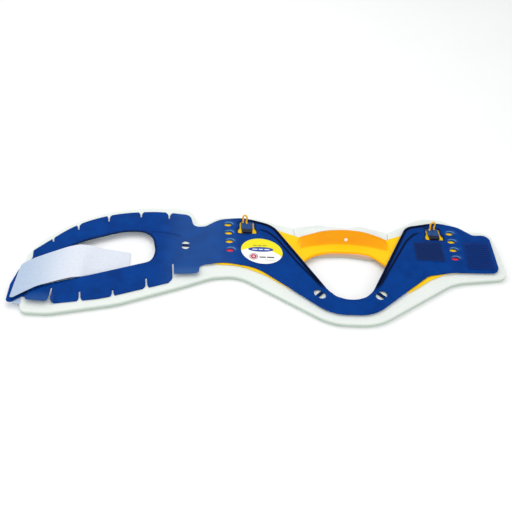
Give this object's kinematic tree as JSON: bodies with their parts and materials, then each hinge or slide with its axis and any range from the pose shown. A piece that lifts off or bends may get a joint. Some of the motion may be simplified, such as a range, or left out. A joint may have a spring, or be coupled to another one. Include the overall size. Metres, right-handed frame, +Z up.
{
  "type": "adjustable cervical collar",
  "caption": "Adjustable neck collar laid open flat: moulded shell on foam, sliding chin support with height windows and locks, open rear panel, hook-and-loop strap.",
  "frame": {"origin": "middle of the laid-flat collar, on the surface that its foam rests on", "axes": "+X along the collar from the rear panel's end to the front panel's free end, +Y towards the chin edge, +Z up through foam and shell"},
  "size_m": [0.57, 0.177, 0.0233],
  "materials": {
    "shell": "moulded polyethylene sheet with a fine satin texture",
    "foam": "closed-cell polyethylene foam with a smooth skin",
    "chin_plastic": "moulded polyethylene, satin",
    "white_rivet": "moulded nylon",
    "size_mark": "printed ink",
    "lock_foot": "moulded nylon, dark",
    "pull_loop": "moulded, smooth",
    "strap_fabric": "brushed nylon loop fabric",
    "dark_rivet": "moulded nylon, dark",
    "hook_tape": "woven nylon hook tape",
    "label": "printed vinyl film"
  },
  "bodies": {
    "front": {"front_panel": "shell", "front_foam": "foam", "hook_patch_large": "hook_tape", "hook_patch_small": "hook_tape", "label": "label", "left_guide_studs": "shell", "right_guide_studs": "shell"},
    "rear": {"rear_panel": "shell", "rear_foam": "foam", "strap_root": "strap_fabric", "strap_rivets": "dark_rivet"},
    "strap": {"closure_strap": "strap_fabric"},
    "chin": {"chin_support": "chin_plastic", "chin_pad": "foam", "chin_rivet": "white_rivet", "left_size_marker": "size_mark", "right_size_marker": "size_mark"},
    "left_lock": {"left_lock_tab": "shell", "left_lock_foot": "lock_foot", "left_pull_loop": "pull_loop"},
    "right_lock": {"right_lock_tab": "shell", "right_lock_foot": "lock_foot", "right_pull_loop": "pull_loop"}
  },
  "joints": [
    {"name": "waist_fold", "type": "hinge", "parent": "front", "child": "rear", "pos_m": [-0.082, 0.02, 0.0085], "axis": [0, -1, 0], "range_deg": [0, 90]},
    {"name": "strap_turn", "type": "hinge", "parent": "rear", "child": "strap", "pos_m": [-0.276, -0.0425, 0.0104], "axis": [-0.1537, -0.9881, 0], "range_deg": [0, 165]},
    {"name": "chin_height", "type": "slide", "parent": "front", "child": "chin", "axis": [0, 1, 0], "range_m": [0, 0.0435]},
    {"name": "left_lock_lift", "type": "hinge", "parent": "front", "child": "left_lock", "pos_m": [-0.025, 0.0655, 0.01], "axis": [-1, 0, 0], "range_deg": [0, 35], "stiffness_Nm_per_rad": 0.004},
    {"name": "right_lock_lift", "type": "hinge", "parent": "front", "child": "right_lock", "pos_m": [0.207, 0.0655, 0.01], "axis": [-1, 0, 0], "range_deg": [0, 35], "stiffness_Nm_per_rad": 0.004}
  ]
}
